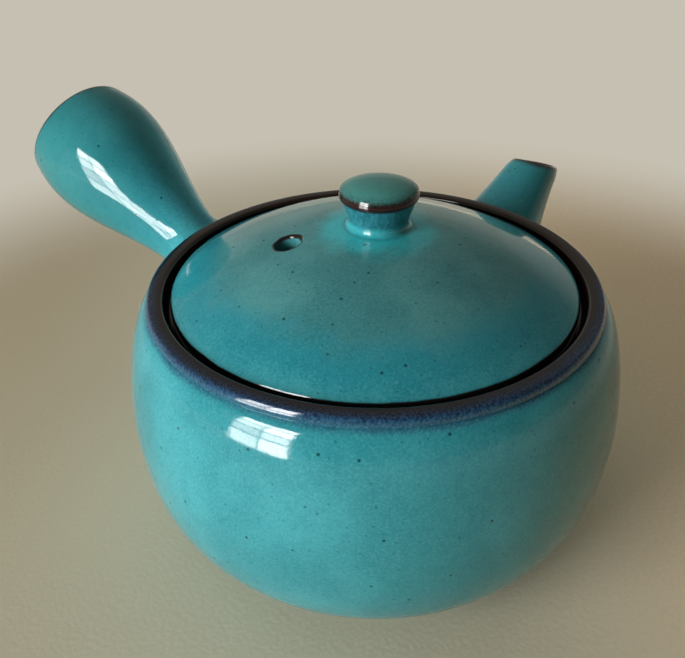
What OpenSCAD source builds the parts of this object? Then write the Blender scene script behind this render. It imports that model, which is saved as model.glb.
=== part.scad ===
// Side-handled teapot (yokode kyusu): a glazed stoneware bowl with a hollow side handle,
// a spout with a perforated clay strainer behind it, and a loose lid with a knob.
// Origin: centre of the foot ring, on the surface it stands on. +X runs along the spout.

/* [Bowl] */
// Diameter of the belly at its widest
belly_d = 116; // [112:0.5:122]
// Height of the widest ring above the table
belly_z = 35; // [33:0.5:37]
// Height of the rim
rim_z = 63.5; // [62:0.5:66]
// Diameter of the raised bead round the rim
rim_d = 101.9; // [101:0.1:103]
// Thickness of the wall
wall = 4.2; // [3.6:0.1:4.8]
// Outer diameter of the foot ring
foot_d = 72; // [64:1:80]
// Height of the foot ring
foot_h = 2.6; // [2:0.1:4]

/* [Lid seat] */
// Inner diameter of the collar that surrounds the lid
seat_d = 94.2; // [93.6:0.2:94.6]
// Depth of the lid's seat below the rim
seat_depth = 3.9; // [3.5:0.1:4.5]
// Diameter of the mouth inside the seat
mouth_d = 84; // [82:0.5:85]

/* [Lid] */
// Diameter of the lid
lid_d = 91.4; // [90:0.2:92]
// Thickness of the lid at its edge
lid_edge = 3.6; // [3.2:0.1:4]
// Height of the dome above the lid's edge
lid_rise = 12.8; // [10:0.2:16]
// Thickness of the dome
lid_wall = 3.6; // [3:0.1:4.2]
// Depth of the ring below the lid that keeps it in the mouth
flange_depth = 7.5; // [5:0.5:9]
// Gap all round between that ring and the mouth
flange_gap = 0.9; // [0.5:0.1:1.5]
// Diameter of the steam vent
vent_d = 6; // [5.9:0.1:6.6]
// Distance of the vent from the lid's centre
vent_r = 19; // [14:0.5:26]
// Bearing of the vent, anticlockwise from the spout
vent_turn = 143; // [0:1:359]

/* [Knob] */
// Height of the knob above the dome
knob_h = 10; // [9:0.5:13]
// Diameter of the knob at its widest
knob_d = 17.3; // [15:0.1:20]
// Diameter of the knob's foot, where it is luted to the lid
knob_foot_d = 12.4; // [10:0.2:13]
// Distance of the knob from the lid's centre, as luted by hand
knob_shift = 1.2; // [0:0.1:1.5]
// Bearing of that shift, anticlockwise from the spout
knob_turn = 308; // [0:1:359]

/* [Spout] */
// Angle of the spout above the level
spout_tilt = 37.5; // [35:0.5:39]
// Height at which the spout's line crosses the bowl's centre line
spout_start_z = 7; // [6:0.5:8]
// Length of that line, from the centre line to the mouth
spout_reach = 98.5; // [94:0.5:104]
// Outer diameter of the tip
spout_tip_d = 13.9; // [12:0.1:15]
// Outer diameter of the spout before its root spreads
spout_root_d = 30.4; // [29:0.2:32]
// Slant of the mouth, back from square to the spout
spout_cut = 28; // [15:1:40]

/* [Handle] */
// Bearing of the handle, anticlockwise from the spout
handle_turn = 95; // [85:1:100]
// Angle of the handle above the level
handle_tilt = 31; // [28:0.5:33]
// Height at which the handle's line crosses the bowl's centre line
handle_start_z = 19.8; // [18:0.2:21]
// Length of that line, from the centre line to the open end
handle_reach = 116; // [108:1:124]
// Outer diameter of the handle at its neck
handle_neck_d = 16.8; // [16:0.2:19]
// Outer diameter of the handle at its widest
handle_bulb_d = 34.6; // [30:0.2:37]
// Outer diameter of the handle at its open end
handle_end_d = 31; // [28:0.2:34]

/* [Strainer] */
// Radius of the strainer's dome
strainer_r = 12; // [11.5:0.1:12.5]
// Thickness of the dome
strainer_wall = 1.8; // [1.5:0.1:2.2]
// Diameter of each hole
strainer_hole_d = 1.7; // [1.3:0.1:1.9]
// Rings of holes round the middle one
strainer_rings = 3; // [1:1:3]

/* [Hidden] */

$fn = 96;
glaze = [0.27, 0.55, 0.57];
bare_clay = [0.62, 0.54, 0.44];

belly_r = belly_d / 2;
rim_r = rim_d / 2;
foot_r = foot_d / 2;
seat_r = seat_d / 2;
mouth_r = mouth_d / 2;
lid_r = lid_d / 2;
knob_r = knob_d / 2;
knob_foot_r = knob_foot_d / 2;

// The bowl's outside and inside are quarter waves that meet at the belly. A power under 1
// makes a wave squarer than an ellipse, and one over 1 makes it straighter.
low_powers = [0.9, 0.8];
high_powers = [0.9, 1.388];
inner_powers = [0.7, 0.8];
wave_steps = 14;
round_steps = 4;

foot_w = 5;
foot_round = 0.8;
foot_recess = 1.8;
floor_z = foot_h + 3.8;
floor_r = foot_r - 6;

// The shoulder runs up under the rim's bead and is hidden by it from the crease on.
bead_round = 1.2;
shoulder_r = rim_r - 1.55;
shoulder_z = rim_z - 1.8;
crease_turn = 83;
rim_round = 1.2;
seat_z = rim_z - seat_depth;
seat_fillet = 1.2;
ledge_h = 4;
ledge_round = 1;

// The lid rests on the seat. Its dome starts where the rounding of its edge ends.
lid_round = 1.6;
lid_lean = 60;
lid_top_z = seat_z + lid_edge;
dome_r = lid_r - lid_round * (1 - cos(lid_lean));
crown_z = lid_top_z + lid_rise;
flange_r = mouth_r - flange_gap;
flange_w = 3.2;
flange_round = 1;
vent_z = dome_z(vent_r);

// The knob is a short cone under a low dome, with a narrow band between them.
knob_band = 1.4;
knob_dome = 2.8;
knob_band_z = crown_z + knob_h - knob_dome - knob_band;
knob_base_z = dome_z(knob_foot_r);
knob_power = 1.3;
knob_sink = 1;

// Spout: along its line, the radius falls from the root to the tip.
spout_root_s = 60;
spout_power = 1.3;
spout_spread = 2.2;
spout_spread_s = 72;
spout_wall_root = 3.2;
spout_wall_tip = 2.2;
spout_steps = 20;

// Handle: a narrow neck, then a bulb that closes in a little at the open end.
handle_neck_s = 66;
handle_bulb_at = 0.8;
handle_spread = 3.5;
handle_spread_s = 69;
handle_wall = 3.2;
handle_lip = 1.2;
handle_steps = 24;

// Strainer: its dome bulges into the bowl, square to the wall behind the spout.
strainer_tilt = 15;
strainer_start_z = 29.75;
strainer_rim_s = 52.5;
strainer_rim_r = 10.5;
strainer_skirt = 4;
strainer_centre_s = strainer_rim_s + sqrt(pow(strainer_r, 2) - pow(strainer_rim_r, 2));
port_r = 8;
ring_angle = 14;
deep = 50;

// A quarter wave from [r0, z0], level there, to [r1, z1], upright there
function rising(r0, z0, r1, z1, powers) = [
    for (i = [0:wave_steps]) let (t = 90 * i / wave_steps)
        [r0 + (r1 - r0) * pow(sin(t), powers[0]), z0 + (z1 - z0) * (1 - pow(cos(t), powers[1]))]
];

// A quarter wave from [r1, z1], upright there, to [r0, z0], level there. An end under 90
// stops it short.
function closing(r1, z1, r0, z0, powers, end = 90) = [
    for (i = [0:wave_steps]) let (t = end * i / wave_steps)
        [r0 + (r1 - r0) * pow(cos(t), powers[0]), z1 + (z0 - z1) * pow(sin(t), powers[1])]
];

// A list of points in the opposite order
function backwards(p) = [for (i = [len(p) - 1:-1:0]) p[i]];

// Points on an arc of radius r about [x, z], from angle a0 to a1
function arc(x, z, r, a0, a1) = [
    for (i = [0:round_steps]) let (a = a0 + (a1 - a0) * i / round_steps)
        [x + r * cos(a), z + r * sin(a)]
];

// The bowl's outside: belly, shoulder, and the bead round the rim
function bowl_skin() = concat(
    rising(foot_r, foot_h, belly_r, belly_z, low_powers),
    closing(belly_r, belly_z, shoulder_r, shoulder_z, high_powers, crease_turn),
    arc(rim_r - bead_round, rim_z - bead_round, bead_round, -40, 90)
);

// A smooth step from 0 to 1 as x goes from 0 to 1
function ease(x) = let (k = min(max(x, 0), 1)) k * k * (3 - 2 * k);

// Height of the lid's outside at radius r
function dome_z(r) = lid_top_z + lid_rise * (1 - pow(r / dome_r, 2));

// Outer radius of the spout at distance s along its line
function spout_r(s) =
    spout_tip_d / 2
    + (spout_root_d - spout_tip_d) / 2
        * pow(max(0, spout_reach - s) / (spout_reach - spout_root_s), spout_power)
    + spout_spread * ease((spout_spread_s - s) / (spout_spread_s - spout_root_s));

// Inner radius of the spout there
function spout_bore_r(s) =
    spout_r(s) - spout_wall_tip
    - (spout_wall_root - spout_wall_tip) * ease((spout_reach - s) / (spout_reach - spout_root_s));

// Outer radius of the handle at distance s along its line
function handle_r(s) =
    let (v = (s - handle_neck_s) / (handle_reach - handle_neck_s))
    handle_neck_d / 2
    + (handle_bulb_d - handle_neck_d) / 2 * ease(v / handle_bulb_at)
    - (handle_bulb_d - handle_end_d) / 2
        * pow(max(0, v - handle_bulb_at) / (1 - handle_bulb_at), 2)
    + handle_spread * ease((handle_spread_s - s) / 7);

// Distances along a line, evenly from s0 to s1
function stations(s0, s1, n) = [for (i = [0:n]) s0 + (s1 - s0) * i / n];

// Places a spout, handle or strainer: its own +Z runs out along the line
module along(turn, start_z, tilt) {
    rotate([0, 0, turn]) translate([0, 0, start_z]) rotate([0, 90 - tilt, 0]) children();
}

// The bowl's outer skin, filled
module bowl_outside() {
    rotate_extrude() polygon(concat([[0, foot_h]], bowl_skin(), [[0, rim_z]]));
}

// The turned bowl, before the port behind the spout is cut
module turned_bowl() {
    rotate_extrude() polygon(concat(
        [[0, foot_recess], [foot_r - foot_w, foot_recess]],
        arc(foot_r - foot_w + foot_round, foot_round, foot_round, 180, 270),
        arc(foot_r - foot_round, foot_round, foot_round, 270, 360),
        bowl_skin(),
        arc(seat_r + rim_round, rim_z - rim_round, rim_round, 90, 180),
        arc(seat_r - seat_fillet, seat_z + seat_fillet, seat_fillet, 0, -90),
        arc(mouth_r + ledge_round, seat_z - ledge_round, ledge_round, 90, 180),
        arc(mouth_r + ledge_round, seat_z - ledge_h + ledge_round, ledge_round, 180, 270),
        backwards(closing(belly_r - wall, belly_z, mouth_r + ledge_round + 0.5,
            seat_z - ledge_h, inner_powers)),
        backwards(rising(floor_r, floor_z, belly_r - wall, belly_z, low_powers)),
        [[0, floor_z]]
    ));
}

// Bowl with its foot ring, its lid seat and the port that lets tea into the spout
module bowl() {
    color(glaze) difference() {
        turned_bowl();
        along(0, strainer_start_z, strainer_tilt)
            translate([0, 0, strainer_rim_s - 5]) cylinder(h = 18, r = port_r);
    }
}

// Tapered spout, hollow, cut at a slant and luted over the port
module spout() {
    outside = stations(spout_root_s - 12, spout_reach + 8, spout_steps);
    color(glaze) difference() {
        along(0, spout_start_z, spout_tilt) difference() {
            rotate_extrude() polygon(concat(
                [for (s = outside) [spout_r(s), s]],
                [for (s = backwards(outside)) [spout_bore_r(s), s]]
            ));
            translate([0, 0, spout_reach]) rotate([0, -spout_cut, 0])
                translate([-deep, -deep, 0]) cube([2 * deep, 2 * deep, deep]);
        }
        bowl_outside();
    }
}

// Pierced clay dome, luted to the inside of the bowl over the port
module strainer() {
    color(bare_clay) difference() {
        along(0, strainer_start_z, strainer_tilt) difference() {
            union() {
                intersection() {
                    translate([0, 0, strainer_centre_s]) sphere(r = strainer_r);
                    translate([0, 0, strainer_rim_s - deep]) cylinder(h = deep, r = strainer_r);
                }
                translate([0, 0, strainer_rim_s])
                    cylinder(h = strainer_skirt, r = strainer_rim_r);
            }
            translate([0, 0, strainer_centre_s]) sphere(r = strainer_r - strainer_wall);
            translate([0, 0, strainer_rim_s])
                cylinder(h = 2 * strainer_skirt, r = strainer_rim_r - strainer_wall);
            translate([0, 0, strainer_centre_s]) strainer_holes();
        }
        turned_bowl();
    }
}

// Rings of small holes, each drilled towards the centre of the dome
module strainer_holes() {
    for (ring = [0:strainer_rings]) {
        count = max(1, 6 * ring);
        for (i = [0:count - 1])
            rotate([0, 0, 360 * i / count]) rotate([0, 180 - ring_angle * ring, 0])
                translate([0, 0, strainer_r - 2 * strainer_wall])
                    cylinder(h = 3 * strainer_wall, d = strainer_hole_d);
    }
}

// Hollow side handle, open at its far end and luted to the bowl's shoulder
module handle() {
    outside = stations(handle_neck_s - 12, handle_reach - handle_lip, handle_steps);
    inside = [for (s = outside) [handle_r(s) - handle_wall, s]];
    end_r = handle_r(handle_reach - handle_lip);
    color(glaze) difference() {
        along(handle_turn, handle_start_z, handle_tilt) rotate_extrude() polygon(concat(
            [for (s = outside) [handle_r(s), s]],
            arc(end_r - handle_lip, handle_reach - handle_lip, handle_lip, 0, 90),
            arc(end_r - handle_wall + handle_lip, handle_reach - handle_lip, handle_lip, 90, 180),
            backwards(inside)
        ));
        bowl_outside();
    }
}

// Domed lid with the ring below it that keeps it in the mouth, and its steam vent
module lid() {
    crown = stations(0, dome_r, wave_steps);
    hollow = stations(0, flange_r - flange_w, wave_steps);
    color(glaze) difference() {
        rotate_extrude() polygon(concat(
            [for (i = [0:wave_steps - 1]) [crown[i], dome_z(crown[i])]],
            arc(lid_r - lid_round, lid_top_z - lid_round * sin(lid_lean), lid_round, lid_lean, 0),
            arc(lid_r - lid_round / 2, seat_z + lid_round / 2, lid_round / 2, 0, -90),
            [[flange_r, seat_z]],
            arc(flange_r - flange_round, seat_z - flange_depth + flange_round, flange_round, 0, -90),
            arc(flange_r - flange_w + flange_round, seat_z - flange_depth + flange_round,
                flange_round, 270, 180),
            [for (r = backwards(hollow)) [r, dome_z(r) - lid_wall]]
        ));
        rotate([0, 0, vent_turn]) translate([vent_r, 0, vent_z - 2 * lid_wall])
            cylinder(h = 4 * lid_wall, d = vent_d);
    }
}

// The lid's dome, filled down to the seat
module lid_outside() {
    rotate_extrude() polygon(concat(
        [for (r = stations(0, dome_r, wave_steps)) [r, dome_z(r)]],
        [[dome_r, seat_z], [0, seat_z]]
    ));
}

// Knob, luted to the crown of the lid
module knob() {
    side = stations(0, 1, 6);
    color(glaze) difference() {
        rotate([0, 0, knob_turn]) translate([knob_shift, 0, 0]) rotate_extrude() polygon(concat(
            [[0, knob_base_z - knob_sink], [knob_foot_r, knob_base_z - knob_sink]],
            [for (k = side) [
                knob_foot_r + (knob_r - knob_foot_r) * pow(k, knob_power),
                knob_base_z + (knob_band_z - knob_base_z) * k
            ]],
            [for (i = [0:wave_steps]) let (t = 90 * i / wave_steps)
                [knob_r * cos(t), knob_band_z + knob_band + knob_dome * sin(t)]]
        ));
        lid_outside();
    }
}

bowl();
spout();
strainer();
handle();
lid();
knob();
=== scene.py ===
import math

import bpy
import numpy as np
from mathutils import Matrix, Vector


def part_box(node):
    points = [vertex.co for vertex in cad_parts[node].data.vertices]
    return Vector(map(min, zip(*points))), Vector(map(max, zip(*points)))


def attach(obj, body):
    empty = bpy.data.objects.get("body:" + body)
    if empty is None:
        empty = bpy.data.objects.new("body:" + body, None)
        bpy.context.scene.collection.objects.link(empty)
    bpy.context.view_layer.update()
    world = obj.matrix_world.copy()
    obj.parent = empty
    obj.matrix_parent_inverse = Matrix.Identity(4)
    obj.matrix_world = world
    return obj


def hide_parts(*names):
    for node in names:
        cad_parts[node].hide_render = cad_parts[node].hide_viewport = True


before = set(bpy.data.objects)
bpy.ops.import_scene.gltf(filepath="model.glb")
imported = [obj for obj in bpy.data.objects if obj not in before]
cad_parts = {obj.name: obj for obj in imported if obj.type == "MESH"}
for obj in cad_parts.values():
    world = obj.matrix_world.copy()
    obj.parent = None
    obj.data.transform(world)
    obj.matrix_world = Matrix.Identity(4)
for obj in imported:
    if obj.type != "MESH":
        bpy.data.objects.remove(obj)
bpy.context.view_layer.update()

# A side-handled teapot in turquoise stoneware glaze. Shapes are worked out in millimetres in
# the frame's axes: +Z up from the foot, +X along the spout. Each piece is built as rings of
# points. The pot and its lid each have a procedural glaze, which breaks to brown and to near
# black where it runs thin. Some of it is painted light and shade: a slate sheen on the side of
# the rim toward the camera, a greyer lid that stands for the sheen it mirrors, and shade where
# the knob meets the lid.

MM = 0.001
# Edges that turn by more than this stay sharp in the shading
SHARP = math.radians(50)
# Points round each ring of the bowl and the lid, and round the smaller pieces
ROUND = 288
SMALL_ROUND = 160

# ---------------------------------------------------------------- sizes
# The outer ones are read from the frame. The rest are set to match the CAD, in millimetres.


def extent(node):
    """Lowest and highest corner of a CAD node, in millimetres."""
    low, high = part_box(node)
    return np.array(low) / MM, np.array(high) / MM


bowl_low, bowl_high = extent("bowl")
lid_low, lid_high = extent("lid")
knob_low, knob_high = extent("knob")

belly_r = (bowl_high[0] - bowl_low[0]) / 2
rim_z = bowl_high[2]
lid_r = (lid_high[0] - lid_low[0]) / 2
crown_z = lid_high[2]
knob_r = (knob_high[0] - knob_low[0]) / 2
knob_axis = (knob_low[:2] + knob_high[:2]) / 2
knob_top_z = knob_high[2]

# Bowl
belly_z = 35.0
rim_r = 50.95
shoulder_r = rim_r - 1.55
shoulder_z = rim_z - 1.8
crease_turn = 83.0
foot_r = 36.0
foot_h = 2.6
foot_w = 5.0
foot_recess = 1.8
wall = 4.2
floor_z = foot_h + 3.8
# Powers of the quarter waves that make the bowl's section: below the belly, above it, inside
low_powers = (0.9, 0.8)
high_powers = (0.9, 1.388)
inner_powers = (0.7, 0.8)
seat_r = 47.1
seat_z = rim_z - 3.9
mouth_r = 42.0

# Lid and knob
lid_round = 1.6
lid_lean = 60.0
lid_top_z = seat_z + 3.6
dome_r = lid_r - lid_round * (1 - math.cos(math.radians(lid_lean)))
lid_wall = 3.6
flange_r = mouth_r - 0.9
flange_w = 3.2
vent_r = 2.8
vent_lip = 0.7
vent_turn = math.radians(143.0)
vent_at = 19.0 * np.array([math.cos(vent_turn), math.sin(vent_turn)])
knob_foot_r = 6.2
knob_power = 1.3

# Spout, handle and the port behind the spout
spout_line = dict(turn=0.0, start_z=7.0, tilt=37.5)
spout_reach = 98.5
spout_cut = 28.0
handle_line = dict(turn=95.0, start_z=19.8, tilt=31.0)
handle_reach = 116.0
port_line = dict(turn=0.0, start_z=29.75, tilt=15.0)
port_r = 8.0

# ---------------------------------------------------------------- curves


def ease(x):
    """A smooth step from 0 to 1 as x goes from 0 to 1."""
    k = np.clip(x, 0.0, 1.0)
    return k * k * (3 - 2 * k)


def rising(r0, z0, r1, z1, powers, n):
    """A quarter wave from (r0, z0), level there, to (r1, z1), upright there."""
    t = np.linspace(0, math.pi / 2, n + 1)
    s, c = np.sin(t), np.abs(np.cos(t))
    return np.stack([r0 + (r1 - r0) * s ** powers[0], z0 + (z1 - z0) * (1 - c ** powers[1])], 1)


def closing(r1, z1, r0, z0, powers, n, end=90.0):
    """A quarter wave from (r1, z1), upright there, to (r0, z0), level there.

    An end under 90 stops it short.
    """
    t = np.linspace(0, math.radians(end), n + 1)
    s, c = np.sin(t), np.abs(np.cos(t))
    return np.stack([r0 + (r1 - r0) * c ** powers[0], z1 + (z0 - z1) * s ** powers[1]], 1)



def bend(a, corner, b, n):
    """n points from a to b, on a curve that leaves a and arrives at b in line with the corner."""
    k = np.linspace(0, 1, n)[:, None]
    return (1 - k) ** 2 * a + 2 * k * (1 - k) * corner + k ** 2 * b


def arc(r, z, radius, a0, a1, n):
    """Points on an arc about (r, z), from angle a0 to a1 in degrees, in n steps."""
    a = np.radians(np.linspace(a0, a1, n + 1))
    return np.stack([r + radius * np.cos(a), z + radius * np.sin(a)], 1)


def dome_z(r):
    """Height of the lid's outside at radius r."""
    return lid_top_z + (crown_z - lid_top_z) * (1 - (r / dome_r) ** 2)


def spread_evenly(points, step):
    """The same polyline, with points about step apart along it."""
    seg = np.linalg.norm(np.diff(points, axis=0), axis=1)
    u = np.concatenate([[0], np.cumsum(seg)])
    n = max(2, int(round(u[-1] / step)))
    at = np.linspace(0, u[-1], n + 1)
    return np.stack([np.interp(at, u, points[:, k]) for k in range(points.shape[1])], 1)


def straight(a, b, step):
    """Points about step apart from a to b."""
    return spread_evenly(np.array([a, b]), step)


# The bowl's outer skin, from the foot to the crease below the rim's bead, and its length
# along the curve
shoulder = closing(belly_r, belly_z, shoulder_r, shoulder_z, high_powers, 400, crease_turn)
skin = np.vstack([rising(foot_r, foot_h, belly_r, belly_z, low_powers, 400), shoulder[1:]])
skin_u = np.concatenate([[0], np.cumsum(np.linalg.norm(np.diff(skin, axis=0), axis=1))])
# The fillets of the spout and the handle end here at the highest, just short of the crease
skin_end = skin_u[-1] - 0.4


def skin_r(z):
    """The skin's radius at height z."""
    return np.interp(z, skin[:, 1], skin[:, 0])


def skin_at(theta, u, sink=0.0):
    """The point on the bowl's skin at bearing theta and length u, and the skin's slope there.

    sink puts the point that far below the skin. The slope is a unit vector (dr, dz).
    """
    r, z = np.interp(u, skin_u, skin[:, 0]), np.interp(u, skin_u, skin[:, 1])
    # The slope is taken over this much of the skin on either side
    e = 0.05
    dr = np.interp(u + e, skin_u, skin[:, 0]) - np.interp(u - e, skin_u, skin[:, 0])
    dz = np.interp(u + e, skin_u, skin[:, 1]) - np.interp(u - e, skin_u, skin[:, 1])
    m = math.hypot(dr, dz)
    r, z = r - sink * dz / m, z + sink * dr / m
    return np.array([r * math.cos(theta), r * math.sin(theta), z]), (dr / m, dz / m)


# ---------------------------------------------------------------- building meshes


def hand_made(p):
    """A slight unevenness of the whole pot, always inwards, so that it fits the CAD's box."""
    # How far out of round, how lobed and how low on one side it is, as shares of its size
    oval, lobed, low_side = 0.0010, 0.0006, 0.0006
    near = np.clip(np.hypot(p[:, 0], p[:, 1]) / belly_r, 0, 1)
    a = np.arctan2(p[:, 1], p[:, 0])
    pull = oval * (1 + np.cos(2 * a + 0.8)) + lobed * (1 + np.cos(3 * a - 1.1 + p[:, 2] / 30))
    q = p.copy()
    q[:, :2] *= (1 - pull * near)[:, None]
    q[:, 2] *= 1 - low_side * (1 + np.cos(a - 0.2)) * near
    return q


def add_mesh(name, points, faces, body, slot, stands_for):
    """A smooth-shaded piece that rides on a body and stands for a CAD node."""
    mesh = bpy.data.meshes.new(name)
    mesh.from_pydata((hand_made(points) * MM).tolist(), [], faces)
    mesh.validate()
    mesh.polygons.foreach_set("use_smooth", [True] * len(mesh.polygons))
    mesh.set_sharp_from_angle(angle=SHARP)
    mesh.update()
    piece = bpy.data.objects.new(name, mesh)
    bpy.context.scene.collection.objects.link(piece)
    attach(piece, body)
    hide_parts(stands_for)
    return piece


def ring_faces(n_rings, n, wrap):
    """Quads between rings of n points each; wrap joins the last ring to the first."""
    faces = []
    for i in range(n_rings if wrap else n_rings - 1):
        a, b = i * n, ((i + 1) % n_rings) * n
        for j in range(n):
            k = (j + 1) % n
            faces.append((a + j, a + k, b + k, b + j))
    return faces


def lathe(profile, n, centre=(0.0, 0.0)):
    """Points and faces of a profile of (r, z) turned about a vertical axis.

    The profile's first and last points lie on the axis.
    """
    a = np.linspace(0, 2 * math.pi, n, endpoint=False)
    rings = [
        np.stack([centre[0] + r * np.cos(a), centre[1] + r * np.sin(a), np.full(n, z)], 1)
        for r, z in profile[1:-1]
    ]
    points = np.vstack(rings + [[[*centre, profile[0][1]]], [[*centre, profile[-1][1]]]])
    first, last = len(points) - 2, len(points) - 1
    top = (len(rings) - 1) * n
    faces = ring_faces(len(rings), n, False)
    faces += [(first, (j + 1) % n, j) for j in range(n)]
    faces += [(last, top + j, top + (j + 1) % n) for j in range(n)]
    return points, faces


# ---------------------------------------------------------------- bowl


def rim_bead():
    """The bead round the rim: a leaning outer face, a crest and the turn into the seat.

    Its arcs have the radii low, face, high and turn. The first three meet at the angles lean
    and nod.
    """
    low, face, high, turn = 0.45, 2.3, 0.7, 0.95
    lean, nod = 16, 42
    a, b = math.radians(lean), math.radians(nod)
    low_r, low_z = rim_r - low, rim_z - 1.12
    face_r, face_z = low_r + (low - face) * math.cos(a), low_z + (low - face) * math.sin(a)
    high_r, high_z = face_r + (face - high) * math.cos(b), face_z + (face - high) * math.sin(b)
    top_z = high_z + high
    return np.vstack([
        [[rim_r - 0.11, rim_z - 2.0], [rim_r - 0.04, rim_z - 1.8], [rim_r, rim_z - 1.5]],
        arc(low_r, low_z, low, 0, lean, 3),
        arc(face_r, face_z, face, lean, nod, 8)[1:],
        arc(high_r, high_z, high, nod, 84, 6)[1:],
        [[seat_r + 1.8, top_z]],
        arc(seat_r + turn, top_z - turn - 0.03, turn, 98, 180, 10),
    ])


def foot_profile():
    """The bowl's section outside, from the middle of its foot up to the belly's widest."""
    edge, cove = 0.8, 1.3
    foot_in = foot_r - foot_w
    lower = rising(foot_r, foot_h, belly_r, belly_z, low_powers, n=300)
    lower = lower[lower[:, 0] > foot_r + cove]
    return np.vstack([
        [[0, foot_recess]],
        straight([1.0, foot_recess], [foot_in - edge, foot_recess], step=3.0),
        arc(foot_in - edge, foot_recess - edge, edge, 90, 0, 5),
        arc(foot_in + edge, edge, edge, 180, 270, 6),
        straight([foot_in + 1.2, 0], [foot_r - 1.2, 0], step=1.0),
        arc(foot_r - edge, edge, edge, 270, 360, 6),
        arc(foot_r + cove, foot_h - cove, cove, 180, 95, 6),
        spread_evenly(lower, step=0.9)[1:],
    ])


def inner_profile():
    """The bowl's section inside, from the seat's wall down to the middle of the floor."""
    seat_round, lip = 1.2, 1.0
    inner_r = belly_r - wall
    floor_r = foot_r - 6
    upper = closing(inner_r, belly_z, mouth_r + 1.5, seat_z - 4.0, inner_powers, n=300)
    lower = rising(floor_r, floor_z, inner_r, belly_z, low_powers, n=300)
    return np.vstack([
        straight([seat_r, rim_z - 1.9], [seat_r, seat_z + 1.3], step=0.5),
        arc(seat_r - seat_round, seat_z + seat_round, seat_round, 0, -90, 6),
        arc(mouth_r + lip, seat_z - lip, lip, 90, 180, 6),
        arc(mouth_r + lip, seat_z - 3.0, lip, 180, 270, 6),
        spread_evenly(upper[::-1], step=1.2),
        spread_evenly(lower[::-1], step=1.2)[1:],
        straight([floor_r - 1, floor_z], [1.0, floor_z], step=3.0),
        [[0, floor_z]],
    ])


# The shoulder's last three points stand closer together, which keeps the crease crisp
bowl_profile = np.vstack([
    foot_profile(),
    spread_evenly(shoulder[:-9], step=0.7)[1:],
    shoulder[[-7, -5, -4]],
    rim_bead(),
    inner_profile(),
])
bowl = add_mesh("bowl_glazed", *lathe(bowl_profile, ROUND), "pot", "pot_glaze", "bowl")


def line_frame(turn, start_z, tilt):
    """Start, direction, and the two directions across it: downwards and sideways."""
    a, t = math.radians(turn), math.radians(tilt)
    out = np.array([math.cos(a), math.sin(a), 0.0])
    along = out * math.cos(t) + np.array([0, 0, math.sin(t)])
    down = out * math.sin(t) - np.array([0, 0, math.cos(t)])
    side = np.cross(along, down)
    return np.array([0, 0, start_z]), along, down, side


def cut_port():
    """Bores the round port through the wall behind the spout.

    The bore runs between two distances along its line, inside and outside the wall.
    """
    n, inside, outside = 64, 46.0, 68.0
    start, along, down, side = line_frame(**port_line)
    a = np.linspace(0, 2 * math.pi, n, endpoint=False)
    across = np.cos(a)[:, None] * down + np.sin(a)[:, None] * side
    rings = np.vstack([start + along * s + across * port_r for s in (inside, outside)])
    mesh = bpy.data.meshes.new("port")
    caps = [tuple(range(n - 1, -1, -1)), tuple(range(n, 2 * n))]
    mesh.from_pydata((rings * MM).tolist(), [], ring_faces(2, n, False) + caps)
    cutter = bpy.data.objects.new("port", mesh)
    bpy.context.scene.collection.objects.link(cutter)
    cut = bowl.modifiers.new("port", "BOOLEAN")
    cut.operation, cut.solver, cut.object = "DIFFERENCE", "EXACT", cutter
    graph = bpy.context.evaluated_depsgraph_get()
    bored = bpy.data.meshes.new_from_object(bowl.evaluated_get(graph))
    bored.set_sharp_from_angle(angle=SHARP)
    bowl.modifiers.clear()
    bowl.data = bored
    bpy.data.objects.remove(cutter)


cut_port()

# ---------------------------------------------------------------- spout and handle


def meets_skin(at, radius):
    """How far along its line one side of a tube comes out through the bowl's skin."""
    low, high, halvings = 50.0, 85.0, 40
    for _ in range(halvings):
        mid = (high + low) / 2
        p = at(mid, radius(mid))
        if p[2] > rim_z or math.hypot(p[0], p[1]) > skin_r(p[2]):
            high = mid
        else:
            low = mid
    return high


def fillet_column(at, out, outer_r, fillet):
    """One side's fillet, from a point buried in the bowl's wall up to the tube's outside.

    Also gives how far along the line it ends. It reaches less far where the crease is near.
    """
    s_skin = meets_skin(at, outer_r)
    corner = at(s_skin, outer_r(s_skin))
    theta = math.atan2(corner[1], corner[0])
    u = float(np.interp(corner[2], skin[:, 1], skin_u))
    dr, dz = skin_at(theta, u)[1]
    across = out @ np.array([-math.sin(theta), math.cos(theta), 0.0])
    up = out @ np.array([math.cos(theta) * dr, math.sin(theta) * dr, dz])
    size = math.hypot(across, up)
    reach = fillet
    if up > 0:
        reach = min(fillet, max(skin_end - u, 0.2) / max(up / size, 0.05))
    foot_theta = theta + across / size * reach / skin_r(corner[2])
    foot_u = min(u + up / size * reach, skin_end)
    buried, _ = skin_at(foot_theta, foot_u, sink=0.9)
    foot, _ = skin_at(foot_theta, foot_u, sink=0.10)
    s_top = s_skin + 0.5 * fillet + 0.6 * reach
    return np.vstack([buried[None], bend(foot, corner, at(s_top, outer_r(s_top)), 15)]), s_top


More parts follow.
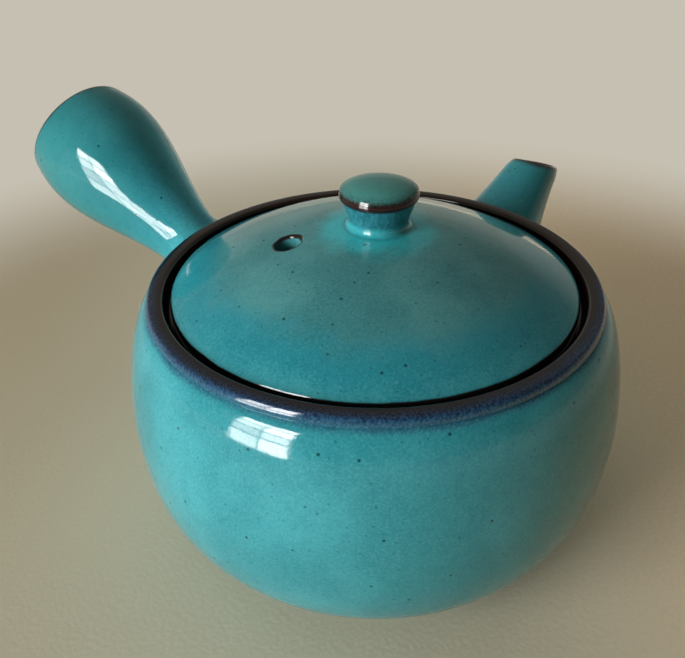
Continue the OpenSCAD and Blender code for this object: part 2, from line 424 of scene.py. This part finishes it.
def luted(name, node, line, outer_r, inner_r, end_s, fillet, soft):
    """A hollow tube along a line, luted to the bowl.

    Each bearing round the tube gets one closed column of points: a fillet that leaves the
    bowl's skin level with it, the outside, a rounded lip, and the bore back down to the skin.
    end_s gives the mouth's distance along the line at each bearing, and soft how much thinner
    the wall is at its lip.
    """
    start, along, down, side = line_frame(**line)
    # Points along each side, and the length over which the wall thins towards the lip
    n_side, thinned = 44, 4
    columns = []
    for phi in np.linspace(0, 2 * math.pi, SMALL_ROUND, endpoint=False):
        out = math.cos(phi) * down + math.sin(phi) * side
        end = end_s(phi)

        def at(s, r):
            return start + along * s + out * r

        def softened(s):
            x = max(0.0, 1 - (end - s) / thinned)
            return outer_r(s) - soft * x ** 2

        foot, s_top = fillet_column(at, out, outer_r, fillet)
        lip = (softened(end) - inner_r(end)) / 2
        s_lip = end - lip
        body = [at(s, softened(s)) for s in np.linspace(s_top, s_lip, n_side)[1:]]
        middle = (softened(s_lip) + inner_r(s_lip)) / 2
        a = np.linspace(0, math.pi, 13)[1:-1]
        lip_pts = [at(s_lip + lip * math.sin(t), middle + lip * math.cos(t)) for t in a]
        s_bore = meets_skin(at, inner_r) - 0.9
        bore = [at(s, inner_r(s)) for s in np.linspace(s_lip, s_bore, n_side)]
        columns.append(np.vstack([foot, body, lip_pts, bore]))
    rings = np.stack(columns, 1)
    faces = ring_faces(len(rings), SMALL_ROUND, True)
    return add_mesh(name, rings.reshape(-1, 3), faces, "pot", "pot_glaze", node)


spout_tip_r = 6.95
spout_root_r = 15.2
spout_root_s = 60.0
spout_flare = 1.3
spout_wall = 2.2


def spout_r(s):
    """The spout's outer radius at distance s along its line."""
    k = max(0.0, spout_reach - s) / (spout_reach - spout_root_s)
    return spout_tip_r + (spout_root_r - spout_tip_r) * k ** spout_flare


def spout_bore(s):
    """The bore's radius: the wall is 1 mm thicker at the root."""
    return spout_r(s) - spout_wall - ease((spout_reach - s) / (spout_reach - spout_root_s))


def spout_end(phi):
    """The mouth's slant: the lower lip, at phi 0, stands further out than the upper one."""
    return spout_reach + spout_tip_r * math.cos(phi) * math.tan(math.radians(spout_cut))


handle_neck_r = 8.4
handle_bulb_r = 17.3
handle_end_r = 15.5
handle_neck_s = 66.0
handle_bulb_at = 0.8
handle_wall = 3.2


def handle_r(s):
    """The handle's outer radius: it swells from the neck to the bulb, then draws in a little."""
    v = (s - handle_neck_s) / (handle_reach - handle_neck_s)
    k = max(0.0, v - handle_bulb_at) / (1 - handle_bulb_at)
    return (handle_neck_r + (handle_bulb_r - handle_neck_r) * ease(v / handle_bulb_at)
            - (handle_bulb_r - handle_end_r) * k ** 2)


def handle_bore(s):
    """The bore's radius: the wall is the same all along."""
    return handle_r(s) - handle_wall


spout = luted("spout_glazed", "spout", spout_line, spout_r, spout_bore, spout_end,
              fillet=5.0, soft=0.8)
handle = luted("handle_glazed", "handle", handle_line, handle_r, handle_bore,
               lambda phi: handle_reach, fillet=5.5, soft=0.0)

# ---------------------------------------------------------------- lid


def lid_side():
    """Points (r, z) round the lid's edge, in under it, round the flange and up inside that."""
    edge, turn, cove = 0.8, 1.0, 1.5
    low_z = lid_low[2]
    r_in = flange_r - flange_w
    top_z = dome_z(r_in) - lid_wall - 1.2
    return np.vstack([
        arc(lid_r - lid_round, lid_top_z - lid_round * math.sin(math.radians(lid_lean)),
            lid_round, lid_lean - 4, 0, 10),
        straight([lid_r, seat_z + 1.9], [lid_r, seat_z + 1.0], step=0.5),
        arc(lid_r - edge, seat_z + edge, edge, 0, -90, 6),
        straight([lid_r - 1.0, seat_z], [flange_r + 0.5, seat_z], step=0.8),
        straight([flange_r, seat_z - 0.4], [flange_r, low_z + 1.2], step=1.0),
        arc(flange_r - turn, low_z + turn, turn, 0, -90, 6),
        arc(r_in + turn, low_z + turn, turn, 270, 180, 6),
        [[r_in, z] for z in np.linspace(low_z + 1.6, top_z, 8)],
        arc(r_in - cove, top_z + 0.2, cove, 0, 60, 5)[1:],
    ])


def lid_rings():
    """Rings that shrink from the lid's edge to the vent, so the vent's lip is part of the dome.

    One closed run: up the bore of the vent, out over the dome, round the edge, across the
    seat, round the flange, and in under the dome to the bore again.
    """
    a = np.linspace(0, 2 * math.pi, ROUND, endpoint=False)
    circle = np.stack([np.cos(a), np.sin(a)], 1)
    rings = []

    def ring(r, centre, drop):
        """Adds a ring that lies drop below the lid's outside."""
        xy = centre + circle * r
        rings.append(np.column_stack([xy, dome_z(np.hypot(xy[:, 0], xy[:, 1])) - drop]))

    def centre_of(r, r0, r1):
        """The ring's centre, which moves from the vent's at r0 to the lid's own at r1."""
        return vent_at * (1 - ease((r - r0) / (r1 - r0)))

    for drop in np.linspace(lid_wall - 0.4, vent_lip, 5):
        ring(vent_r, vent_at, drop)
    for t in np.radians(np.linspace(0, 90, 9)[1:]):
        ring(vent_r + vent_lip * (1 - math.cos(t)), vent_at, vent_lip * (1 - math.sin(t)))
    r_lip = vent_r + vent_lip
    for r in np.linspace(r_lip, dome_r, 66)[1:]:
        ring(r, centre_of(r, r_lip + 2.0, dome_r), 0.0)
    for r, z in lid_side():
        rings.append(np.column_stack([circle * r, np.full(ROUND, z)]))
    r_under = flange_r - flange_w - 0.9
    for r in np.linspace(r_under, vent_r + 0.4, 44):
        ring(r, centre_of(r, vent_r + 2.0, r_under), lid_wall)
    return rings


rings = lid_rings()
lid = add_mesh("lid_glazed", np.vstack(rings), ring_faces(len(rings), ROUND, True),
               "cover", "lid_glaze", "lid")

# ---------------------------------------------------------------- knob

knob_base_z = dome_z(knob_foot_r)
knob_dome = 2.5
knob_band = 0.9
knob_band_z = knob_top_z - knob_dome - 1.2


def knob_profile():
    """The knob's section: a sunk foot, a fillet, a flared cone, a round band and a low cap."""
    sunk_z = knob_base_z - 1.5
    cone_top = knob_r - knob_band / 2
    side = np.linspace(0, 1, 24)
    cone = np.stack([
        knob_foot_r + (cone_top - knob_foot_r) * side ** knob_power,
        knob_base_z + (knob_band_z - 0.3 - knob_base_z) * side,
    ], 1)
    above_fillet = cone[7:]
    foot = np.array([knob_foot_r + 1.6, knob_base_z - 0.07])
    corner = np.array([knob_foot_r + 0.1, knob_base_z])
    band = arc(knob_r - knob_band, knob_band_z + knob_band / 2, knob_band, -52, 22, 8)
    a = np.radians(np.linspace(12, 90, 30))
    cap = np.stack([knob_r * np.cos(a), knob_top_z - knob_dome + knob_dome * np.sin(a)], 1)
    cap = cap[cap[:, 0] < knob_r - 0.22]
    return np.vstack([
        [[0, sunk_z], [knob_foot_r, sunk_z], [foot[0] - 0.3, knob_base_z - 0.8]],
        bend(foot, corner, above_fillet[0], 10),
        above_fillet[1:],
        band,
        cap[:-1],
        [[0, knob_top_z]],
    ])


def knob_mesh():
    """The knob turned about its own axis, with its foot following the dome."""
    points, faces = lathe(knob_profile(), SMALL_ROUND, tuple(knob_axis))
    follow = dome_z(np.hypot(points[:, 0], points[:, 1])) - knob_base_z
    weight = 1 - ease((points[:, 2] - knob_base_z) / (knob_band_z - knob_base_z))
    from_axis = np.hypot(points[:, 0] - knob_axis[0], points[:, 1] - knob_axis[1])
    on_foot = (from_axis > knob_foot_r - 0.1) & (points[:, 2] < knob_band_z)
    points[on_foot, 2] += (follow * weight)[on_foot]
    return points, faces


knob = add_mesh("knob_glazed", *knob_mesh(), "cover", "lid_glaze", "knob")

# ---------------------------------------------------------------- materials


class Nodes:
    """Strings shader nodes together. A value is a number, a colour or another node's output."""

    def __init__(self, tree):
        self.tree = tree
        self.tree.nodes.clear()

    def add(self, kind, **settings):
        node = self.tree.nodes.new(kind)
        for key, value in settings.items():
            setattr(node, key, value)
        return node

    def plug(self, node, **values):
        """Sets a node's inputs: i2 is its third one, and Base_Color the one of that name."""
        for key, value in values.items():
            by_number = key[0] == "i" and key[1:].isdigit()
            socket = node.inputs[int(key[1:]) if by_number else key.replace("_", " ")]
            if isinstance(value, bpy.types.NodeSocket):
                self.tree.links.new(value, socket)
            else:
                socket.default_value = value
        return node

    def maths(self, operation, a, b=0.0):
        node = self.add("ShaderNodeMath", operation=operation)
        return self.plug(node, i0=a, i1=b).outputs[0]

    def vector(self, operation, a, b=(0.0, 0.0, 0.0)):
        node = self.add("ShaderNodeVectorMath", operation=operation)
        return self.plug(node, i0=a, i1=b).outputs

    def step(self, value, low, high, out_low=0.0, out_high=1.0):
        """Smoothly from out_low to out_high as value goes from low to high."""
        node = self.add("ShaderNodeMapRange", interpolation_type="SMOOTHSTEP", clamp=True)
        return self.plug(node, i0=value, i1=low, i2=high, i3=out_low, i4=out_high).outputs[0]

    def blend(self, amount, first, second):
        """From one shader to another as amount goes from 0 to 1."""
        return self.plug(self.add("ShaderNodeMixShader"), i0=amount, i1=first, i2=second).outputs[0]


class Paint(Nodes):
    """A material, painted by where each point of the surface lies in the frame."""

    def __init__(self, name):
        self.material = bpy.data.materials.new(name)
        self.material.use_nodes = True
        super().__init__(self.material.node_tree)
        self.position = self.add("ShaderNodeTexCoord").outputs["Object"]

    def mix(self, amount, a, b, blend="MIX"):
        node = self.add("ShaderNodeMix", data_type="RGBA", blend_type=blend)
        return self.plug(node, i0=amount, i6=a, i7=b).outputs[2]

    def noise(self, size_mm, detail=2.0, roughness=0.5, where=None):
        """Noise between about 0.25 and 0.75, with features about size_mm across."""
        node = self.add("ShaderNodeTexNoise")
        self.plug(node, Vector=where or self.position, Scale=1 / (size_mm * MM), Detail=detail,
                  Roughness=roughness)
        return node.outputs[0]

    def dots(self, cell_mm, radius_mm):
        """1 at the centre of scattered dots, 0 outside them."""
        node = self.add("ShaderNodeTexVoronoi", feature="F1", distance="EUCLIDEAN")
        self.plug(node, Vector=self.position, Scale=1 / (cell_mm * MM), Randomness=1.0)
        return self.step(node.outputs["Distance"], radius_mm / cell_mm, 0.3 * radius_mm / cell_mm)

    def stretched(self, x, y, z):
        """The position with each axis scaled."""
        return self.vector("MULTIPLY", self.position, (x, y, z))[0]

    def offset_from(self, point_mm):
        return self.vector("SUBTRACT", self.position, tuple(c * MM for c in point_mm))[0]

    def distance_to(self, point_mm):
        """Distance from a point, in millimetres."""
        length = self.vector("LENGTH", self.offset_from(point_mm))["Value"]
        return self.maths("MULTIPLY", length, 1 / MM)

    def past(self, point_mm, direction):
        """How far past a point along a direction, in millimetres."""
        along = self.vector("DOT_PRODUCT", self.offset_from(point_mm), tuple(direction))["Value"]
        return self.maths("MULTIPLY", along, 1 / MM)

    def cylinder_mm(self):
        """Distance from the pot's centre line and height, in millimetres."""
        parts = self.plug(self.add("ShaderNodeSeparateXYZ"), i0=self.position)
        x, y, z = (self.maths("MULTIPLY", parts.outputs[k], 1 / MM) for k in range(3))
        r = self.maths("SQRT", self.maths("ADD", self.maths("MULTIPLY", x, x),
                                          self.maths("MULTIPLY", y, y)))
        return r, z

    def surface(self, colour, roughness, height, bump_mm, **constants):
        """A shader with these looks, and with height bumping its surface by up to bump_mm."""
        bump = self.plug(self.add("ShaderNodeBump"), Height=height, Distance=bump_mm * MM,
                         Strength=1.0)
        shader = self.plug(self.add("ShaderNodeBsdfPrincipled"), Base_Color=colour,
                           Roughness=roughness, Normal=bump.outputs[0], **constants)
        return shader.outputs[0]

    def finish(self, shader):
        self.plug(self.add("ShaderNodeOutputMaterial"), Surface=shader)
        return self.material


def srgb(r, g, b):
    """An sRGB colour, 0 to 255, as the linear colour that Blender takes."""
    def linear(c):
        c = c / 255
        return c / 12.92 if c <= 0.04045 else ((c + 0.055) / 1.055) ** 2.4
    return (linear(r), linear(g), linear(b), 1.0)


# ---- looks that the pot and the lid share


def grained(p, colour, grain, pale):
    """Fine mottling: a little darker and richer here, paler there."""
    richer = (0.66, 0.85, 0.87, 1.0)
    colour = p.mix(p.step(grain, 0.54, 0.32, 0.0, 0.9), colour, richer, "MULTIPLY")
    colour = p.mix(p.step(grain, 0.52, 0.70, 0.0, 0.22), colour, pale)
    return p.mix(p.step(p.noise(2.6), 0.52, 0.34, 0.0, 0.4), colour, richer, "MULTIPLY")


def specked(p, colour):
    """Iron specks: many faint ones and a few dark ones."""
    faint = p.dots(2.3, 0.36)
    colour = p.mix(p.maths("MULTIPLY", faint, 0.5), colour, srgb(16, 92, 96))
    dark = p.dots(4.4, 0.47)
    return p.mix(p.maths("MULTIPLY", dark, 0.92), colour, srgb(4, 58, 62))


def wander(p, value, noise, width):
    """The value with a noise about 0 added, at most about a quarter of width either way."""
    centred = p.maths("MULTIPLY", p.maths("SUBTRACT", noise, 0.5), width)
    return p.maths("ADD", value, centred)


def both(p, a, b):
    """1 where both are 1."""
    return p.maths("MULTIPLY", a, b)


def glazed(p, colour, roughness, grain):
    """A glossy coat, slightly wavy, with its grain just raised."""
    waves = p.maths("MULTIPLY", p.noise(7), 0.6)
    height = p.maths("ADD", waves, p.maths("MULTIPLY", grain, 0.03))
    return p.finish(p.surface(colour, roughness, height, bump_mm=0.12, IOR=1.5))


# ---- the pot's glaze


def pot_ground(p, r, grain):
    """Turquoise, which deepens and loses half its mottling out along the spout and handle."""
    colour = p.mix(p.step(p.noise(24), 0.40, 0.62), srgb(66, 161, 171), srgb(52, 146, 156))
    colour = p.mix(p.step(r, belly_r + 4, belly_r + 20, 0.0, 0.4), colour, srgb(40, 122, 124))
    colour = p.mix(p.step(r, belly_r + 14, belly_r + 42, 0.0, 0.4), colour, srgb(30, 100, 94))
    quieter = p.step(r, belly_r, belly_r + 15, 1.0, 0.5)
    steady = p.maths("MULTIPLY", p.maths("SUBTRACT", grain, 0.5), quieter)
    return specked(p, grained(p, colour, p.maths("ADD", steady, 0.5), srgb(108, 192, 196)))


def paint_bead(p, colour, r, z, cloud, painted_sheen_side):
    """The glaze thins on the rim's bead: turquoise, then slate blue, then nearly black."""
    streaks = p.noise(0.42, 3, 0.7, p.stretched(1.0, 1.0, 0.7))
    stipple = p.step(p.noise(0.5, 2, 0.6), 0.36, 0.64)
    # This distance runs outwards from the crest and down the bead's face
    from_crest = p.maths("ADD", p.maths("SUBTRACT", r, rim_r - 2.5), p.maths("SUBTRACT", rim_z, z))
    from_crest = wander(p, wander(p, from_crest, streaks, 3.6), cloud, 1.8)
    near_rim = p.step(r, rim_r + 2.2, rim_r + 1.4)
    slate = p.mix(stipple, srgb(22, 31, 44), srgb(36, 49, 68))
    # The closest band is near-black brown, and slate on the side toward the camera, where the slate
    # is a painted sheen
    bands = (
        (6.4, 3.8, p.mix(stipple, srgb(34, 86, 108), srgb(52, 108, 134))),
        (4.6, 1.6, p.mix(stipple, srgb(18, 38, 70), srgb(44, 80, 114))),
        (2.8, 0.2, p.mix(painted_sheen_side, srgb(22, 13, 10), slate)),
    )
    for far, close, tint in bands:
        colour = p.mix(both(p, p.step(from_crest, far, close), near_rim), colour, tint)
    return colour


def paint_seat(p, colour, r, z, cloud, painted_sheen_side):
    """Thin brown glaze on the rim's inner side and the seat, which fades out below the mouth."""
    turn = wander(p, r, cloud, 1.0)
    inner = both(p, p.step(turn, rim_r - 1.7, rim_r - 3.0), p.step(z, 52.0, 57.0))
    brown = p.mix(p.noise(4, 3), srgb(18, 10, 7), srgb(44, 25, 17))
    # Toward the camera the brown turns partly slate: a painted sheen
    return p.mix(inner, colour, p.mix(p.maths("MULTIPLY", painted_sheen_side, 0.6), brown, srgb(26, 28, 38)))


def paint_handle_lip(p, colour, cloud):
    """Brown where the glaze pulls back from the handle's open end."""
    start, along, _, _ = line_frame(**handle_line)
    end = start + along * handle_reach
    past = wander(p, p.past(end, along), cloud, 0.8)
    near = p.step(p.distance_to(end), 24.0, 20.0)
    return p.mix(both(p, p.step(past, -1.7, -0.6), near), colour, srgb(40, 32, 30))


def paint_spout_lip(p, colour, cloud):
    """The same round the spout's slanting mouth, where it reaches further back underneath."""
    start, along, down, _ = line_frame(**spout_line)
    end = start + along * spout_reach
    lean = math.radians(spout_cut)
    past = wander(p, p.past(end, along * math.cos(lean) - down * math.sin(lean)), cloud, 1.2)
    past = p.maths("ADD", past, p.step(p.past(end, down), 0.0, 6.5, 0.0, 2.4))
    near = p.step(p.distance_to(end), 14.0, 11.0)
    return p.mix(both(p, p.step(past, -2.1, -0.5), near), colour, srgb(46, 36, 33))


def paint_foot(p, colour, r, z, bare):
    """Thin glaze low on the foot, and bare clay where it is wiped clean before firing."""
    edge = both(p, p.step(z, 3.4, 2.2), p.step(r, foot_r + 3.5, foot_r + 1.5))
    colour = p.mix(p.maths("MULTIPLY", edge, 0.7), colour, srgb(58, 66, 58))
    clay = p.mix(p.noise(0.9, 4, 0.7), srgb(150, 128, 104), srgb(186, 166, 140))
    return p.mix(bare, colour, clay)


def pot_material():
    p = Paint("pot_glaze")
    r, z = p.cylinder_mm()
    grain = p.noise(0.5, 3, 0.65)
    cloud = p.noise(9)
    # Thin glaze is brown; on the side nearest to the camera it is painted slate blue, a painted
    # sheen
    middle, to_viewer = (0, 0, 0), (-0.9, -0.44, 0)
    painted_sheen_side = p.step(p.past(middle, to_viewer), -25.0, 30.0)
    bare = p.step(z, 1.9, 1.5)
    colour = pot_ground(p, r, grain)
    colour = paint_bead(p, colour, r, z, cloud, painted_sheen_side)
    colour = paint_seat(p, colour, r, z, cloud, painted_sheen_side)
    colour = paint_handle_lip(p, colour, cloud)
    colour = paint_spout_lip(p, colour, cloud)
    colour = paint_foot(p, colour, r, z, bare)
    gloss = p.step(p.noise(3.0, 3), 0.3, 0.7, 0.05, 0.10)
    bare_or_gloss = p.plug(p.add("ShaderNodeMix", data_type="FLOAT"), i0=bare, i2=gloss, i3=0.85)
    return glazed(p, colour, bare_or_gloss.outputs[0], grain)


# ---- the lid's glaze


def lid_ground(p, r, grain):
    """A greyer turquoise for a painted reflection, with thicker, bluer glaze further out and paler
    at the very edge.
    """
    colour = p.mix(p.step(p.noise(24), 0.40, 0.62), srgb(82, 150, 152), srgb(64, 134, 138))
    ring = wander(p, wander(p, r, p.noise(10, 3, 0.65), 12.0), grain, 6.0)
    colour = p.mix(p.step(ring, 30.0, 40.0, 0.0, 0.85), colour, srgb(28, 142, 157))
    return p.mix(p.step(ring, 40.5, 46.0, 0.0, 0.55), colour, srgb(70, 164, 170))


def paint_pool(p, colour, from_knob):
    """A pool of thick glaze round the foot of the knob, with painted shade, darker, where it meets
    the knob.
    """
    pool = wander(p, from_knob, p.noise(4, 3), 7.0)
    colour = p.mix(p.step(pool, 16.0, 8.5, 0.0, 0.9), colour, srgb(66, 198, 206))
    # Painted shade in the corner where the knob meets the lid
    return p.mix(p.step(from_knob, 8.6, 7.2, 0.0, 0.5), colour, srgb(38, 126, 134))


def paint_knob(p, colour, z, from_knob, cloud):
    """A dark streaked cone, a paler top, and brown on the band that fades upwards in specks."""
    on_knob = both(p, p.step(from_knob, knob_r + 4, knob_r + 3),
                   p.step(z, knob_base_z + 0.6, knob_base_z + 2.4))
    top_z = knob_band_z + 1.1
    streaks = p.noise(0.7, 3, 0.6, p.stretched(1.0, 1.0, 0.45))
    cone = p.mix(p.step(streaks, 0.34, 0.66), srgb(34, 102, 116), srgb(52, 128, 140))
    colour = p.mix(both(p, on_knob, p.step(z, top_z, top_z - 1.0)), colour, cone)
    top = p.mix(p.noise(1.2, 3, 0.6), srgb(58, 134, 130), srgb(82, 156, 150))
    colour = p.mix(both(p, on_knob, p.step(z, top_z - 1.0, top_z)), colour, top)
    spotted = wander(p, wander(p, z, p.noise(0.45, 3, 0.7), 2.2), cloud, 0.8)
    band = both(p, p.step(z, knob_band_z - 0.75, knob_band_z - 0.35),
                p.step(spotted, top_z + 1.9, top_z - 0.1))
    from_middle = p.distance_to((*knob_axis, knob_band_z))
    band = both(p, band, p.step(from_middle, knob_r - 2.0, knob_r - 1.0))
    return p.mix(band, colour, p.mix(p.noise(1.6), srgb(14, 11, 13), srgb(54, 21, 17)))


def paint_lid_edge(p, colour, r, z, cloud):
    """Near black below the turn of the lid's edge and on the flange under it."""
    edge = p.step(wander(p, r, cloud, 0.4), dome_r + 0.28, dome_r + 0.52)
    under = p.step(z, seat_z + 0.2, seat_z - 0.3)
    return p.mix(p.maths("MAXIMUM", edge, under), colour, srgb(20, 17, 16))


def paint_vent(p, colour):
    """Brown on the vent's lip, and a little way down its bore."""
    vent = (*vent_at, float(dome_z(np.hypot(*vent_at))))
    from_vent = wander(p, p.distance_to(vent), p.noise(1.5), 0.8)
    slope = 2 * (crown_z - lid_top_z) / dome_r ** 2
    above = p.past(vent, Vector((slope * vent_at[0], slope * vent_at[1], 1)).normalized())
    lip = both(p, p.step(from_vent, vent_r + 0.9, vent_r + 0.5), p.step(above, -0.9, -0.5))
    return p.mix(lip, colour, srgb(30, 19, 16))


def lid_material():
    p = Paint("lid_glaze")
    r, z = p.cylinder_mm()
    grain = p.noise(0.5, 3, 0.65)
    cloud = p.noise(9)
    from_knob = p.distance_to((*knob_axis, knob_base_z))
    colour = paint_pool(p, lid_ground(p, r, grain), from_knob)
    # The pale mottling is greyer than the pot's, as part of the same painted reflection
    colour = specked(p, grained(p, colour, grain, srgb(104, 172, 172)))
    colour = paint_knob(p, colour, z, from_knob, cloud)
    colour = paint_lid_edge(p, colour, r, z, cloud)
    colour = paint_vent(p, colour)
    return glazed(p, colour, p.step(p.noise(3.0, 3), 0.3, 0.7, 0.06, 0.12), grain)


def clay_material():
    """The strainer's bare clay."""
    p = Paint("strainer_clay")
    grain = p.noise(0.6, 4, 0.7)
    colour = p.mix(grain, srgb(120, 88, 66), srgb(158, 122, 94))
    roughness = p.step(grain, 0.3, 0.7, 0.65, 0.9)
    return p.finish(p.surface(colour, roughness, grain, bump_mm=0.08))


def dress(piece, material):
    """Gives a piece its only material."""
    piece.data.materials.clear()
    piece.data.materials.append(material)


pot_glaze = pot_material()
lid_glaze = lid_material()
for piece in (bowl, spout, handle):
    dress(piece, pot_glaze)
for piece in (lid, knob):
    dress(piece, lid_glaze)
dress(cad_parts["strainer"], clay_material())

# ---------------------------------------------------------------- floor, light and camera

backdrop = srgb(198, 192, 178)
# The photo's view is turned in the frame: its right-hand side has this bearing, the spout 0
view_turn = math.radians(-52.0)


def seen(x, y, z):
    """A place given in the camera's own axes (right, away, up), in millimetres."""
    c, s = math.cos(view_turn), math.sin(view_turn)
    return Vector((c * x - s * y, s * x + c * y, z)) * MM


def shown(nodes, mirrored=0.6):
    """How much of the backdrop a ray sees: all of it from the camera, and less in a mirror."""
    path = nodes.add("ShaderNodeLightPath")
    glossy = nodes.maths("MULTIPLY", path.outputs["Is Glossy Ray"], mirrored)
    direct = nodes.maths("MAXIMUM", path.outputs["Is Camera Ray"],
                         path.outputs["Is Transmission Ray"])
    return nodes.maths("MAXIMUM", direct, glossy)


def table_material():
    """A pale table, which fades into the plain backdrop beyond the pot's shadow."""
    p = Paint("floor")
    from_pot = p.distance_to((0, 0, 0))
    colour = p.mix(p.noise(60, 3), srgb(203, 194, 168), srgb(212, 203, 178))
    # A little darker on the lit side of the pot and lighter and warmer on the other, as in the
    # photo: painted shade on the lit side, and painted light that lifts the pot's shadow on the
    # other
    across = p.past((0, 0, 0), seen(1000, 150, 0))
    colour = p.mix(p.step(across, 20, 110, 0.0, 0.6), colour, srgb(246, 214, 172))
    colour = p.mix(p.step(across, -30, -130, 0.0, 0.6), colour, srgb(166, 148, 116))
    colour = p.mix(p.step(p.noise(1.2), 0.3, 0.7, 0.0, 0.25), colour, srgb(194, 185, 158))
    table = p.surface(colour, 0.8, p.noise(1.2), bump_mm=0.05)
    glow = p.plug(p.add("ShaderNodeEmission"), Color=backdrop).outputs[0]
    far = p.maths("MULTIPLY", p.step(from_pot, 165, 300), shown(p))
    return p.finish(p.blend(far, table, glow))


def add_floor():
    """The table's top, 6 m across, which is staging and isn't part of the pot."""
    half = 3000 * MM
    mesh = bpy.data.meshes.new("floor")
    corners = [(-half, -half, 0), (half, -half, 0), (half, half, 0), (-half, half, 0)]
    mesh.from_pydata(corners, [], [(0, 1, 2, 3)])
    floor = bpy.data.objects.new("floor", mesh)
    bpy.context.scene.collection.objects.link(floor)
    mesh.materials.append(table_material())


def add_world():
    """A soft light, with the plain backdrop for whatever sees it."""
    world = bpy.data.worlds.new("studio")
    world.use_nodes = True
    n = Nodes(world.node_tree)
    ray = n.add("ShaderNodeTexCoord").outputs["Generated"]

    def along(direction):
        """How far a ray points along a direction, from -1 to 1."""
        return n.vector("DOT_PRODUCT", ray, direction)["Value"]

    # The soft light is strongest from behind the pot on the left, and fades to nothing opposite
    strongest = 0.29
    facing = n.maths("ADD", along(seen(-640, 720, 290)), 1.0)
    strength = n.maths("MULTIPLY", facing, strongest / 2)
    light = n.plug(n.add("ShaderNodeBackground"), Color=srgb(236, 228, 210), Strength=strength)
    view = n.plug(n.add("ShaderNodeBackground"), Color=backdrop)
    # A mirror sees the backdrop as a low wall behind the pot, and dimmer above and in front
    low = n.step(along(Vector((0, 0, 1))), 0.12, 0.38, 1.0, 0.10)
    behind = n.step(along(seen(0, 1000, 0)), -0.3, 0.6, 0.3, 0.6)
    backdrop_share = shown(n, n.maths("MULTIPLY", low, behind))
    lit = n.blend(backdrop_share, light.outputs[0], view.outputs[0])
    n.plug(n.add("ShaderNodeOutputWorld"), Surface=lit)
    bpy.context.scene.world = world


def add_lamp(name, place, target, size, power, soft=True, mirror=True):
    """A rectangular lamp. soft: it lights matt surfaces too; mirror: glossy ones mirror it."""
    lamp = bpy.data.lights.new(name, "AREA")
    lamp.shape, lamp.size, lamp.size_y = "RECTANGLE", size[0] * MM, size[1] * MM
    lamp.energy = power
    holder = bpy.data.objects.new(name, lamp)
    holder.location = place
    holder.rotation_mode = "QUATERNION"
    holder.rotation_quaternion = (target - place).to_track_quat("-Z", "Y")
    holder.visible_camera = False
    holder.visible_diffuse = soft
    holder.visible_glossy = mirror
    bpy.context.scene.collection.objects.link(holder)


def add_window():
    """A tall window on the viewer's left, two panes wide, which is only there to be mirrored."""
    near = np.array([-20.0, -49.0, 58.0])
    bearing, reach, sill = math.radians(-136.5), 250.0, 53
    out = np.array([math.cos(bearing), math.sin(bearing), 0.0])
    across = np.array([-math.sin(bearing), math.cos(bearing), 0.0])
    width, height, bar = 0.245 * reach, 0.195 * reach, 0.022 * reach
    pane_power = 3.0e-6 * reach ** 2
    for k, brightness in enumerate((0.7, 1.0, 0.5, 0.8, 0.8, 1.3, 1.1, 1.1)):
        column, row = k % 2 - 0.5, k // 2
        centre = near + out * reach + across * column * (width + bar)
        centre[2] = sill + row * (height + bar)
        add_lamp(f"pane_{k}", seen(*centre), seen(*(centre - out)), (width, height),
                 brightness * pane_power, soft=False)


def add_lamps():
    """The key light from the window's side, a weak one from above and one from behind."""
    add_lamp("key", seen(-679, -512, 235), seen(0, 0, 40), (470, 430), 9.5, mirror=False)
    add_lamp("top", seen(-100, 100, 900), seen(0, 0, 0), (700, 700), 0.4, mirror=False)
    add_lamp("back", seen(260, 860, 120), seen(0, 0, 30), (700, 260), 5.2, mirror=False)


def add_camera():
    """The photo's view: a wide lens near by, looking 33.5 degrees down, a little turned."""
    pitch, yaw, roll = math.radians(33.49), math.radians(-2.94), math.radians(-1.20)
    forward = Vector((math.sin(yaw) * math.cos(pitch), math.cos(yaw) * math.cos(pitch),
                      -math.sin(pitch)))
    right = Vector((math.cos(yaw), -math.sin(yaw), 0))
    up = right.cross(forward)
    right, up = (right * math.cos(roll) + up * math.sin(roll),
                 up * math.cos(roll) - right * math.sin(roll))
    spin = Matrix.Rotation(view_turn, 3, "Z")
    turned = Matrix([spin @ v for v in (right, up, -forward)]).transposed()
    data = bpy.data.cameras.new("camera")
    data.sensor_width = 36.0
    data.lens = 36.788321
    data.clip_start = 10 * MM
    camera = bpy.data.objects.new("camera", data)
    camera.matrix_world = Matrix.Translation(seen(0, -140.2, 141.1)) @ turned.to_4x4()
    bpy.context.scene.collection.objects.link(camera)
    bpy.context.scene.camera = camera


add_floor()
add_world()
add_window()
add_lamps()
add_camera()
bpy.context.scene.view_settings.view_transform = "Standard"
